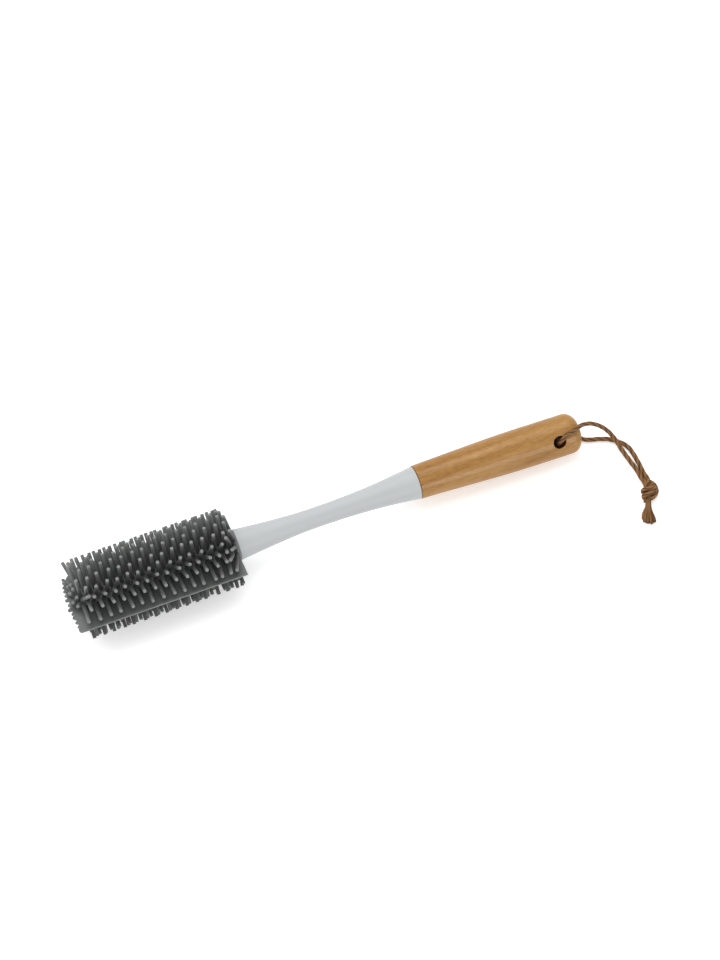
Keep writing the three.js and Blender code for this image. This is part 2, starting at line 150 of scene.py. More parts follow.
# The knot's two loops and its core, in millimetres from its centre: towards the tails, aside and up.
OUTER_LOOP = (
    (-6.2, -1.4, -1.8), (-6.5, 0.5, -1.2), (-5.1, 2.6, -0.4), (-2.3, 4.3, 0.2),
    (0.5, 4.6, 0.4), (3.2, 3.5, 0.0), (4.5, 1.3, -1.2), (4.7, -0.9, -1.8),
    (4.6, -2.5, -1.0), (4.0, -3.2, 0.2), (3.6, -2.6, 1.4), (3.0, -0.8, 2.2),
    (2.1, 0.5, 2.4), (0.6, 2.2, 2.3), (-1.6, 3.3, 1.2), (-3.4, 3.4, -0.4),
)
INNER_LOOP = (
    (-4.4, -2.1, -1.6), (-3.8, 0.4, -0.8), (-2.7, 1.7, -0.2), (-0.6, 2.6, 0.2),
    (1.3, 2.3, 0.0), (1.9, 0.5, -1.4), (1.2, -1.6, -1.9), (0.9, -3.2, -1.0),
    (0.3, -3.6, 0.2), (0.0, -3.0, 1.4), (-0.2, -1.2, 2.4), (-0.6, 0.3, 2.6),
    (-1.8, 1.4, 2.2), (-3.3, 2.1, 1.2), (-4.8, 2.3, -0.4),
)
KNOT_CORE = (
    (-6.4, -1.6, -1.3), (-3.0, -0.7, -0.7), (0.5, 0.0, -0.6),
    (4.0, -0.5, -1.0), (7.0, -0.8, -1.4),
)


def linear(hex_colour):
    """An sRGB hex colour as linear red, green, blue and alpha."""
    parts = [int(hex_colour[i : i + 2], 16) / 255 for i in (1, 3, 5)]
    return (*[p / 12.92 if p <= 0.04045 else ((p + 0.055) / 1.055) ** 2.4 for p in parts], 1.0)


def length_prop(name, description, millimetres):
    return bpy.props.FloatProperty(
        name=name, description=description, default=millimetres * MM, unit="LENGTH", precision=4
    )


def angle_prop(name, description, degrees):
    return bpy.props.FloatProperty(
        name=name, description=description, default=math.radians(degrees), subtype="ANGLE"
    )


def colour_prop(name, description, hex_colour):
    return bpy.props.FloatVectorProperty(
        name=name, description=description, default=linear(hex_colour), size=4, subtype="COLOR"
    )


def count_prop(name, description, count):
    return bpy.props.IntProperty(name=name, description=description, default=count, min=1)


def power_prop(name, description, watts):
    return bpy.props.FloatProperty(name=name, description=description, default=watts, unit="POWER")


class HeadSettings(bpy.types.PropertyGroup):
    """Sizes of the silicone head."""

    upper_rows: count_prop("Upper rows", "Rows of bristles above the fins", 11)
    upper_spacing: angle_prop("Upper spacing", "Angle between rows above the fins", 14.6)
    lower_rows: count_prop("Lower rows", "Rows of bristles below the fins", 10)
    lower_spacing: angle_prop("Lower spacing", "Angle between rows below the fins", 180 / 11)
    row_bristles: count_prop("Bristles in a row", "Upright bristles along one row", 15)
    bristle_pitch: length_prop("Bristle pitch", "Distance between bristles of a row", 6.22)
    first_bristle: length_prop("First bristle", "Place of the first bristle along the axis", 7.1)
    last_root: length_prop("Last root", "Place of the roots on the collar", 100.4)
    tip_radius: length_prop("Tip radius", "Reach of the bristles that lie on the table", 22.9)
    upper_tips: length_prop("Upper tips", "Reach of the bristles clear of the table", 23.8)
    bristle_radius: length_prop("Bristle radius", "Radius of a bristle at half its height", 1.08)
    sleeve_radius: length_prop("Sleeve radius", "Radius of the sleeve under the bristles", 6.0)
    sleeve_bore: length_prop("Sleeve bore", "Radius of the hole for the neck's core", 4.7)
    collar_radius: length_prop("Collar radius", "Radius of the rim against the neck", 9.1)
    fin_angle: angle_prop("Fin angle", "Lift of the near wiper fin above level", 180 / 11)
    fin_radius: length_prop("Fin radius", "Reach of the wiper fins from the axis", 22.8)
    fin_end: length_prop("Fin end", "Place of the fins' end beside the collar", 100.6)
    fin_thickness: length_prop("Fin thickness", "Thickness of the wiper plate", 0.9)
    near_corner: length_prop("Near corner", "Rounding of the near fin at the tip", 1.5)
    far_corner: length_prop("Far corner", "Rounding of the far fin at the tip", 16.0)
    tip_bow: length_prop("Tip bow", "Bulge of the plate's edge at the tip", 1.4)
    near_teeth: length_prop("Near teeth", "Reach of the teeth on the near fin", 20.0)
    far_teeth: length_prop("Far teeth", "Reach of the teeth on the far fin", 13.4)
    tooth_pitch: length_prop("Tooth pitch", "Distance between the teeth round the tip", 3.3)
    tooth_depth: length_prop("Tooth depth", "Depth of the teeth round the tip", 1.9)


class GripSettings(bpy.types.PropertyGroup):
    """Sizes of the wooden grip."""

    radius: length_prop("Radius", "Radius of the grip at its thickest", 12.35)
    butt_round: length_prop("Butt rounding", "Radius of the rounded butt", 7.0)
    bend: angle_prop("Bend", "Angle by which the grip turns aside from the neck", 1.4)
    bend_length: length_prop("Bend length", "Length of grip over which it bends", 14.0)
    socket_radius: length_prop("Socket radius", "Radius of the hole for the spigot", 6.3)
    socket_length: length_prop("Socket length", "Depth of the hole for the spigot", 26.6)
    hole_place: length_prop("Hole place", "Place of the cross hole along the axis", 302.4)
    hole_angle: angle_prop("Hole angle", "Lift of the cross hole's near mouth", 51.3)
    hole_radius: length_prop("Hole radius", "Radius of the cross hole", 3.9)
    rim_round: length_prop("Rim rounding", "Rounding of the cross hole's mouths", 0.45)


class CordSettings(bpy.types.PropertyGroup):
    """Sizes of the hanging cord."""

    radius: length_prop("Radius", "Radius of the cord over its plies", 1.27)
    lay: length_prop("Lay length", "Length of one full twist of the plies", 16.0)
    slack: bpy.props.FloatProperty(
        name="Slack", description="How much thicker the slack cord is at the knot", default=1.18
    )
    plies: count_prop("Plies", "Yarns twisted together", 3)
    tail_length: length_prop("Tail length", "Length of the loose ends behind the knot", 13.2)
    tail_yarns: count_prop("Tail yarns", "Loose yarns in each frayed end", 9)


class FinishSettings(bpy.types.PropertyGroup):
    """Colours of the materials."""

    # The deep colour is painted shade among the roots; the tip colour is wear, dust and painted light.
    silicone_deep: colour_prop("Deep silicone", "Silicone at the roots, in the dark", "#3a3c3b")
    silicone: colour_prop("Silicone", "Moulded silicone", "#474948")
    silicone_side: colour_prop("Silicone sides", "Bristle sides near the tips", "#616362")
    silicone_lit_tip: colour_prop("Silicone tips", "Bristle tips, paler with use", "#767876")
    plastic: colour_prop("Plastic", "Pale grey polypropylene", "#b2b5b6")
    wood_light: colour_prop("Light wood", "Early wood of the grip", "#b0864f")
    wood_dark: colour_prop("Dark wood", "Late wood of the grip", "#8b5f2a")
    # Painted shade on the wall of the cross hole.
    wood_hole_shade: colour_prop("Drilled wood", "Scorched wall of the cross hole", "#56240c")
    # The groove colour is painted shade between the plies; the ridge colour is wear and painted light.
    cord_ridge: colour_prop("Cord ridges", "Waxed cotton on the plies", "#87623e")
    cord_groove_shade: colour_prop("Cord grooves", "Waxed cotton between the plies", "#2c1a0d")
    floor: colour_prop("Floor", "Pale table", "#fafafa")


class StageSettings(bpy.types.PropertyGroup):
    """The camera and the studio's lights."""

    azimuth: angle_prop("Azimuth", "Camera's turn about the brush", -21.74)
    elevation: angle_prop("Elevation", "Camera's height above the horizon", 66.55)
    distance: length_prop("Distance", "Camera's distance from what it looks at", 1183.7)
    lens: bpy.props.FloatProperty(
        name="Lens", description="Focal length", default=75.0, unit="CAMERA"
    )
    overhead: power_prop("Overhead light", "Power of the softbox above the table", 12.5)
    front: power_prop("Front light", "Power of the strip light in front", 16.0)
    top: power_prop("Top light", "Power of the strip light above", 10.0)
    surround: bpy.props.FloatProperty(
        name="Surround", description="Strength of the white studio around the table", default=0.82
    )


def radial(angle):
    """Unit vector square to the brush's axis, lifted by an angle on the near side."""
    return Vector((0.0, -math.cos(angle), math.sin(angle)))


def unit(vectors):
    """Vectors, one to a row, each made one unit long."""
    return vectors / np.linalg.norm(vectors, axis=-1, keepdims=True)


def node_points(node):
    return np.array([v.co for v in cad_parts[node].data.vertices])


def brush_matrix():
    """The place of the brush's own axes in the frame, measured on the turned neck and the near fin."""
    fin_angle = bpy.context.scene.brush_head.fin_angle
    neck = node_points("neck")
    middle = neck.mean(axis=0)
    along = np.linalg.svd(neck - middle, full_matrices=False)[2][0]
    along = along if along[0] > 0 else -along
    tip = middle + along * (((neck - middle) @ along).min() - CORE_START)
    fin = (node_points("wiper_fin_near") - tip).mean(axis=0)
    outward = Vector(unit(fin - along * (fin @ along)))
    axis = Vector(along)
    lifted = outward.cross(axis)
    level = outward * math.cos(fin_angle) - lifted * math.sin(fin_angle)
    upright = outward * math.sin(fin_angle) + lifted * math.cos(fin_angle)
    matrix = Matrix((axis, -level, upright)).transposed().to_4x4()
    matrix.translation = Vector(tip)
    return matrix


def smooth_line(stations, count):
    """Evenly spaced points of the smooth curve through a few stations."""
    fine_steps = 24
    stations = np.array(stations, float)
    ends = 2 * stations[[0, -1]] - stations[[1, -2]]
    padded = np.vstack([ends[:1], stations, ends[1:]])
    t = np.linspace(0, 1, fine_steps, endpoint=False)[:, None]
    spans = []
    for a, b, c, d in zip(padded, padded[1:], padded[2:], padded[3:]):
        cubic = (3 * b - a - 3 * c + d) * t**3 + (2 * a - 5 * b + 4 * c - d) * t**2
        spans.append((cubic + (c - a) * t + 2 * b) / 2)
    fine = np.vstack([*spans, stations[-1:]])
    run = np.concatenate([[0], np.cumsum(np.linalg.norm(np.diff(fine, axis=0), axis=1))])
    even = np.linspace(0, run[-1], count)
    return np.column_stack([np.interp(even, run, column) for column in fine.T])


def arc(centre, radius, start, end, steps):
    """Points of a flat arc from one angle to another, both ends included."""
    turns = [start + (end - start) * i / steps for i in range(steps + 1)]
    return [(centre[0] + radius * math.cos(t), centre[1] + radius * math.sin(t)) for t in turns]


def add_node(tree, kind, output, inputs, **settings):
    """Adds a shader node with its settings and gives one of its outputs. Each input is a value, or a
    socket to link it to."""
    node = tree.nodes.new("ShaderNode" + kind)
    for name, value in settings.items():
        setattr(node, name, value)
    for name, value in inputs.items():
        if isinstance(value, bpy.types.NodeSocket):
            tree.links.new(value, node.inputs[name])
        else:
            node.inputs[name].default_value = value
    return node.outputs[output]


def material_of(maker):
    """The material whose surface a function describes, made once."""
    name = maker.__name__
    if name not in bpy.data.materials:
        material = bpy.data.materials.new(name)
        material.use_nodes = True
        tree = material.node_tree
        tree.nodes.clear()
        surface = add_node(tree, "BsdfPrincipled", "BSDF", maker(tree, bpy.context.scene.brush_finish))
        output = tree.nodes.new("ShaderNodeOutputMaterial")
        tree.links.new(surface, output.inputs["Surface"])
    return bpy.data.materials[name]


def brush_coordinates(tree, stretch):
    """Object coordinates turned to the brush's own axes and stretched along them."""
    matrix = brush_matrix()
    place = add_node(tree, "TexCoord", "Object", {})
    own_inputs = {"Vector": place, "Location": matrix.translation, "Rotation": matrix.to_euler()}
    own = add_node(tree, "Mapping", "Vector", own_inputs, vector_type="TEXTURE")
    return add_node(tree, "Mapping", "Vector", {"Vector": own, "Scale": stretch})


def per_size(millimetres):
    """The scale of a pattern whose features are this many millimetres across."""
    return 1 / (millimetres * MM)


def moulded_silicone(tree, colours):
    """Silicone rubber, moulded against a fine-blasted steel tool: matt, with a soft dusty sheen. The
    bristles rub and gather dust at their tips, which are paler than their roots; the roots are also
    darkened with painted shade, and the tips paled with painted light."""
    place = add_node(tree, "TexCoord", "Object", {})
    # A level from the roots to the tips: wear and dust, with painted shade towards the roots and painted
    # light at the tips.
    wear_and_shade = add_node(tree, "Attribute", "Fac", {}, attribute_name="wear_and_shade")
    # Handling leaves clouds about 7 mm across.
    cloud_inputs = {"Vector": place, "Scale": per_size(7), "Detail": 3.0, "Roughness": 0.6}
    cloud = add_node(tree, "TexNoise", "Fac", cloud_inputs)
    uneven = add_node(tree, "MapRange", "Result", {"Value": cloud, "To Min": -0.08, "To Max": 0.08})
    paler = add_node(tree, "Math", "Value", {0: wear_and_shade, 1: uneven}, operation="ADD", use_clamp=True)
    colour = add_node(tree, "ValToRGB", "Color", {"Fac": paler})
    steps = colour.node.color_ramp.elements
    steps[0].color = colours.silicone_deep
    steps[1].color = colours.silicone_lit_tip
    steps.new(0.5).color = colours.silicone
    steps.new(0.92).color = colours.silicone_side
    rough = add_node(tree, "MapRange", "Result", {"Value": cloud, "To Min": 0.46, "To Max": 0.62})
    # The tool's grit is about 0.1 mm, drawn at 0.5 mm so that it shows.
    grit = add_node(tree, "TexNoise", "Fac", {"Vector": place, "Scale": per_size(0.5), "Detail": 2.0})
    bump = add_node(tree, "Bump", "Normal", {"Height": grit, "Strength": 0.25, "Distance": 0.05 * MM})
    return {
        "Base Color": colour,
        "Roughness": rough,
        "Normal": bump,
        "IOR": 1.41,
        "Sheen Weight": 0.12,
        "Sheen Roughness": 0.5,
    }


def moulded_polypropylene(tree, colours):
    """Polypropylene, injection moulded and satin: even and pale, a little waxy, with soft highlights."""
    flow_place = brush_coordinates(tree, (0.25, 1, 1))
    # The melt leaves faint clouds about 9 mm wide along its flow.
    flow = add_node(tree, "TexNoise", "Fac", {"Vector": flow_place, "Scale": per_size(9), "Detail": 2.0})
    shade = add_node(tree, "MapRange", "Result", {"Value": flow, "To Min": 0.965, "To Max": 1.03})
    colour = add_node(tree, "HueSaturation", "Color", {"Color": colours.plastic, "Value": shade})
    rough = add_node(tree, "MapRange", "Result", {"Value": flow, "To Min": 0.5, "To Max": 0.6})
    place = add_node(tree, "TexCoord", "Object", {})
    # The tool's polish leaves waves well under 0.1 mm, drawn at 0.8 mm so that they show.
    peel = add_node(tree, "TexNoise", "Fac", {"Vector": place, "Scale": per_size(0.8), "Detail": 1.0})
    bump = add_node(tree, "Bump", "Normal", {"Height": peel, "Strength": 0.08, "Distance": 0.03 * MM})
    return {
        "Base Color": colour,
        "Roughness": rough,
        "Normal": bump,
        "IOR": 1.49,
        "Specular IOR Level": 0.35,
    }


def oiled_beech(tree, colours):
    """Beech, turned, sanded and oiled: warm bands of grain along the grip, short dark flecks and a
    satin glow on the side that faces the light. The wall of the cross hole is painted dark, as painted
    shade."""
    bands_place = brush_coordinates(tree, (0.07, 1, 1))
    fibre_place = brush_coordinates(tree, (0.16, 1, 1))
    # Growth rings that are cut along the grip show as bands about 6 mm wide.
    band_inputs = {"Vector": bands_place, "Scale": per_size(6), "Detail": 3.0, "Distortion": 0.5}
    bands = add_node(tree, "TexNoise", "Fac", band_inputs)
    # Fibres are about 0.05 mm wide, drawn at 0.9 mm so that they show.
    fibre_inputs = {"Vector": fibre_place, "Scale": per_size(0.9), "Detail": 3.0, "Roughness": 0.7}
    fibres = add_node(tree, "TexNoise", "Fac", fibre_inputs)
    # Ray flecks are about 0.2 mm wide. They lie in cells 0.9 mm wide, so that they show.
    fleck_inputs = {"Vector": fibre_place, "Scale": per_size(0.9), "Randomness": 1.0}
    flecks = add_node(tree, "TexVoronoi", "Distance", fleck_inputs)
    tone = add_node(tree, "MapRange", "Result", {"Value": bands, "From Min": 0.2, "From Max": 0.75})
    streak_inputs = {"Value": fibres, "From Min": 0.3, "From Max": 0.7, "To Min": -0.28, "To Max": 0.28}
    streak = add_node(tree, "MapRange", "Result", streak_inputs)
    mixed = add_node(tree, "Math", "Value", {0: tone, 1: streak}, operation="ADD", use_clamp=True)
    grain_inputs = {"Factor": mixed, "A": colours.wood_dark, "B": colours.wood_light}
    grain = add_node(tree, "Mix", "Result", grain_inputs, data_type="RGBA")
    pale_inputs = {"Value": flecks, "From Min": 0.1, "From Max": 0.3, "To Min": 0.8, "To Max": 1.0}
    pale = add_node(tree, "MapRange", "Result", pale_inputs)
    sanded = add_node(tree, "HueSaturation", "Color", {"Color": grain, "Value": pale})
    # The wall of the cross hole is painted dark brown, as painted shade.
    painted_hole_shade = add_node(tree, "Attribute", "Fac", {}, attribute_name="painted_hole_shade")
    colour_inputs = {"Factor": painted_hole_shade, "A": sanded, "B": colours.wood_hole_shade}
    colour = add_node(tree, "Mix", "Result", colour_inputs, data_type="RGBA")
    rough = add_node(tree, "MapRange", "Result", {"Value": fibres, "To Min": 0.34, "To Max": 0.5})
    oil = add_node(tree, "MapRange", "Result", {"Value": painted_hole_shade, "To Min": 0.28, "To Max": 0.0})
    bump = add_node(tree, "Bump", "Normal", {"Height": fibres, "Strength": 0.2, "Distance": 0.05 * MM})
    return {
        "Base Color": colour,
        "Roughness": rough,
        "Normal": bump,
        "IOR": 1.5,
        "Specular IOR Level": 0.05,
        "Coat Weight": oil,
        "Coat Roughness": 0.18,
    }


def waxed_cotton(tree, colours):
    """Cotton cord, twisted from yarns and waxed: brown, with pale ridges, worn and painted light, painted
    shade in the grooves between the plies, and fine fibres that follow the twist. It reads the cord's own
    UV map, whose first coordinate runs along the cord in twists and whose second goes round it."""
    lay = add_node(tree, "UVMap", "UV", {}, uv_map="lay")
    ridge_and_shade = add_node(tree, "Attribute", "Fac", {}, attribute_name="ridge_and_shade")
    # Cotton fibres are about 0.02 mm wide. With a twist of 16 mm and a girth of 8 mm, these counts draw
    # them 0.3 mm wide and 6.4 mm long, so that they show.
    stretched = add_node(tree, "Mapping", "Vector", {"Vector": lay, "Scale": (2.5, 26.0, 1.0)})
    fibre_inputs = {"Vector": stretched, "Scale": 1.0, "Detail": 3.0, "Roughness": 0.65}
    fibres = add_node(tree, "TexNoise", "Fac", fibre_inputs)
    streak_inputs = {"Value": fibres, "From Min": 0.3, "From Max": 0.7, "To Min": -0.35, "To Max": 0.35}
    streak = add_node(tree, "MapRange", "Result", streak_inputs)
    mixed = add_node(tree, "Math", "Value", {0: ridge_and_shade, 1: streak}, operation="ADD", use_clamp=True)
    colour_inputs = {"Factor": mixed, "A": colours.cord_groove_shade, "B": colours.cord_ridge}
    colour = add_node(tree, "Mix", "Result", colour_inputs, data_type="RGBA")
    rough = add_node(tree, "MapRange", "Result", {"Value": fibres, "To Min": 0.6, "To Max": 0.8})
    bump = add_node(tree, "Bump", "Normal", {"Height": fibres, "Strength": 0.5, "Distance": 0.12 * MM})
    return {
        "Base Color": colour,
        "Roughness": rough,
        "Normal": bump,
        "IOR": 1.45,
        "Specular IOR Level": 0.15,
    }


def light_table(tree, colours):
    """A white acrylic light table: matt, and lit so faintly from below that shadows stay pale."""
    place = add_node(tree, "TexCoord", "Object", {})
    # Wiping leaves clouds about 120 mm across.
    cloud = add_node(tree, "TexNoise", "Fac", {"Vector": place, "Scale": per_size(120), "Detail": 2.0})
    rough = add_node(tree, "MapRange", "Result", {"Value": cloud, "To Min": 0.75, "To Max": 0.85})
    return {
        "Base Color": colours.floor,
        "Roughness": rough,
        "Emission Color": colours.floor,
        "Emission Strength": 0.35,
    }


def alone(piece):
    """Selects one object and makes it active."""
    bpy.ops.object.select_all(action="DESELECT")
    piece.select_set(True)
    bpy.context.view_layer.objects.active = piece


def smoothed(piece, angle=SHARP_EDGE):
    """Shades a piece smooth, apart from its sharp edges."""
    alone(piece)
    bpy.ops.object.shade_smooth_by_angle(angle=angle)


def mark(piece, name, levels):
    """Gives each vertex of a piece a level, which its material reads by name."""
    level = piece.data.attributes.new(name, "FLOAT", "POINT")
    level.data.foreach_set("value", np.array(levels, np.float32))


def lay_in_frame(piece, matrix, maker, slot, *nodes):
    """Puts a finished piece in its place, with its material, instead of the solids it stands for."""
    piece.data.transform(matrix)
    piece.data.materials.clear()
    piece.data.materials.append(material_of(maker))
    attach(piece, BODY)
    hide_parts(*nodes)


def drawn_line(name, points):
    """A new object in edit mode, whose vertices are drawn one after another in the XZ plane."""
    bpy.ops.object.select_all(action="DESELECT")
    bpy.ops.mesh.primitive_plane_add(size=MM)
    piece = bpy.context.object
    piece.name = piece.data.name = name
    bpy.ops.object.mode_set(mode="EDIT")
    bpy.ops.mesh.merge(type="CENTER")
    x, z = points[0]
    bpy.ops.transform.translate(value=(x, 0, z))
    for (x0, z0), (x1, z1) in zip(points, points[1:]):
        step = (x1 - x0, 0, z1 - z0)
        bpy.ops.mesh.extrude_vertices_move(TRANSFORM_OT_translate={"value": step})
    bpy.ops.mesh.select_all(action="SELECT")
    return piece


def close_mesh():
    """Merges what coincides in the mesh being edited, points its faces out and leaves edit mode."""
    bpy.ops.mesh.select_all(action="SELECT")
    bpy.ops.mesh.remove_doubles(threshold=MERGE_DISTANCE)
    bpy.ops.mesh.normals_make_consistent(inside=False)
    bpy.ops.object.mode_set(mode="OBJECT")


def turned(name, profile, sides):
    """A round piece about the brush's axis, from its profile of (place along the axis, radius)."""
    piece = drawn_line(name, profile)
    bpy.ops.mesh.spin(steps=sides, angle=2 * math.pi, center=(0, 0, 0), axis=(1, 0, 0))
    close_mesh()
    return piece


def joined(name, pieces):
    """Several objects made one."""
    alone(pieces[0])
    for piece in pieces:
        piece.select_set(True)
    bpy.ops.object.join()
    pieces[0].name = pieces[0].data.name = name
    return pieces[0]


def tube_faces(first, along, around, ends):
    """The faces of a closed tube, whose points are numbered ring by ring from the first one, and the
    faces' corners in the UV map.

    The map's first coordinate is given for each ring and for the tube's two ends, and its second for
    each side.
    """
    sides = len(around) - 1
    faces, corners = [], []
    for ring, u in enumerate(zip(along, along[1:])):
        low = first + ring * sides
        high = low + sides
        for i, v in enumerate(zip(around, around[1:])):
            j = (i + 1) % sides
            faces.append((low + i, low + j, high + j, high + i))
            corners.extend([(u[0], v[0]), (u[0], v[1]), (u[1], v[1]), (u[1], v[0])])
    last = first + (len(along) - 1) * sides
    faces += [tuple(reversed(range(first, first + sides))), tuple(range(last, last + sides))]
    corners += [(end, around[0]) for end in ends for _ in range(sides)]
    return faces, corners


def cord_piece(name, points, faces, corners, ridge_shades):
    """A new object of cord, with its UV map and with the level of its ridges and painted shade at each
    point.
    """
    mesh = bpy.data.meshes.new(name)
    mesh.from_pydata([tuple(p) for p in points], [], faces)
    piece = bpy.data.objects.new(name, mesh)
    bpy.context.scene.collection.objects.link(piece)
    uv = mesh.uv_layers.new(name="lay")
    uv.data.foreach_set("uv", np.array(corners, np.float32).ravel())
    mark(piece, "ridge_and_shade", ridge_shades)
    mesh.shade_smooth()
    return piece


def twisted_cord(name, path, radius, settings, phase=0.0):
    """A cord of twisted plies along a path of points, closed at both ends, with its own UV map.

    Its radius is one number, or one number for each point.
    """
    sides, groove, ridge_power = 18, 0.11, 0.5
    sideways = (0.3, 0.2, 1.0)
    path = np.array(path)
    run = np.concatenate([[0], np.cumsum(np.linalg.norm(np.diff(path, axis=0), axis=1))])
    headings = unit(np.gradient(path, axis=0))
    around = np.linspace(0, 2 * math.pi, sides, endpoint=False)
    # The grooves between the plies are painted darker, as painted shade, and the ridges paler, as wear and
    # painted light.
    ridge_and_shade = np.abs(np.cos(around * settings.plies / 2)) ** ridge_power
    swell = 1 - groove * (1 - ridge_and_shade)
    radii = np.broadcast_to(radius, len(path))
    side = unit(np.cross(headings[0], sideways))
    points = []
    for place, heading, along, thick in zip(path, headings, run, radii):
        side = unit(side - heading * (side @ heading))
        rise = np.cross(heading, side)
        turn = (around + phase + 2 * math.pi * along / settings.lay)[:, None]
        spread = np.cos(turn) * side + np.sin(turn) * rise
        points.extend(place + thick * swell[:, None] * spread)
    twists = run / settings.lay
    faces, corners = tube_faces(0, twists, [i / sides for i in range(sides + 1)], twists[[0, -1]])
    return cord_piece(name, points, faces, corners, np.tile(ridge_and_shade, len(path)))


def knot_matrix():
    """The knot's own axes: +X from the strands to the tails, +Y to one side, +Z up."""
    place = Matrix.Translation(Vector(KNOT_CENTRE) * MM)
    return place @ Matrix.Rotation(KNOT_HEADING, 4, "Z")


class BRUSH_OT_stage(bpy.types.Operator):
    """Sets up the pale table, the soft studio lights and the camera"""

    bl_idname = "brush.stage"
    bl_label = "Stage"

    def execute(self, context):
        settings = context.scene.brush_stage
        floor_side = 24.0
        target = Vector((26.03, 14.58, 15.0)) * MM
        bpy.ops.object.select_all(action="DESELECT")
        bpy.ops.mesh.primitive_plane_add(size=floor_side)
        floor = context.object
        floor.name = "floor"
        floor.data.materials.append(material_of(light_table))

        level = math.cos(settings.elevation)
        back = Vector(
            (
                math.sin(settings.azimuth) * level,
                -math.cos(settings.azimuth) * level,
                math.sin(settings.elevation),
            )
        )
        bpy.ops.object.camera_add(location=target + back * settings.distance)
        camera = context.object
        camera.rotation_euler = (-back).to_track_quat("-Z", "Y").to_euler()
        camera.data.lens = settings.lens
        camera.data.clip_start = 10 * MM
        context.scene.camera = camera

        # Each lamp's place and size, its power, and whether it lights all or adds only streaks of gloss.
        lamps = (
            ("overhead_softbox", (-0.2, 0.5, 1.4), (1.4, 1.0), settings.overhead, True),
            ("front_strip", (0.05, -1.0, 0.44), (1.8, 0.5), settings.front, False),
            ("top_strip", (0.15, 0.85, 1.3), (1.6, 0.8), settings.top, False),
        )
        for name, place, (width, height), power, lights_all in lamps:
            bpy.ops.object.light_add(type="AREA", location=place)
            lamp = context.object
            lamp.name = name
            lamp.data.shape = "RECTANGLE"
            lamp.data.size, lamp.data.size_y = width, height
            lamp.data.energy = power
            lamp.rotation_euler = (-Vector(place)).to_track_quat("-Z", "Y").to_euler()
            lamp.visible_diffuse = lights_all

        world = bpy.data.worlds.new("white_studio")
        world.use_nodes = True
        world.node_tree.nodes["Background"].inputs["Strength"].default_value = settings.surround
        world.node_tree.nodes["Background"].inputs["Color"].default_value = (1, 1, 1, 1)
        context.scene.world = world
        context.scene.view_settings.view_transform = "Standard"
        return {"FINISHED"}


class BRUSH_OT_cord_strands(bpy.types.Operator):
    """Lays the cord's two strands from the cross hole to the knot"""

    bl_idname = "brush.cord_strands"
    bl_label = "Cord strands"

    def execute(self, context):
        settings = context.scene.brush_cord
        ring_gap = 0.45 * MM
        for name, route in (("near", NEAR_STRAND), ("far", FAR_STRAND)):
            in_knot = (np.array(route[-1]) + KNOT_CENTRE) / 2
            stations = np.vstack([route, in_knot]) * MM
            length = np.linalg.norm(np.diff(stations, axis=0), axis=1).sum()
            path = smooth_line(stations, int(length / ring_gap))
            radii = settings.radius * np.linspace(1, settings.slack, len(path))
            cord = twisted_cord(f"cord_strand_{name}", path, radii, settings)
            lay_in_frame(cord, Matrix(), waxed_cotton, "cord_cotton", f"cord_{name}")
        return {"FINISHED"}


class BRUSH_OT_cord_knot(bpy.types.Operator):
    """Ties the knot: the doubled cord loops once round its own strands"""

    bl_idname = "brush.cord_knot"
    bl_label = "Cord knot"

    def execute(self, context):
        settings = context.scene.brush_cord
        loop_points, core_points, core_half = 90, 30, 0.95
        pieces = []
        for name, stations in (("outer", OUTER_LOOP), ("inner", INNER_LOOP)):
            loop = smooth_line(stations, loop_points) * MM
            pieces.append(twisted_cord(f"{name}_loop", loop, settings.radius, settings))
        for side in (-1, 1):
            stations = [(x, y + side * core_half, z) for x, y, z in KNOT_CORE]
            core = smooth_line(stations, core_points) * MM
            pieces.append(twisted_cord(f"core_{side}", core, settings.radius, settings, phase=side))
        knot = joined("cord_knot_wraps", pieces)
        lay_in_frame(knot, knot_matrix(), waxed_cotton, "cord_cotton", "cord_knot")
        return {"FINISHED"}


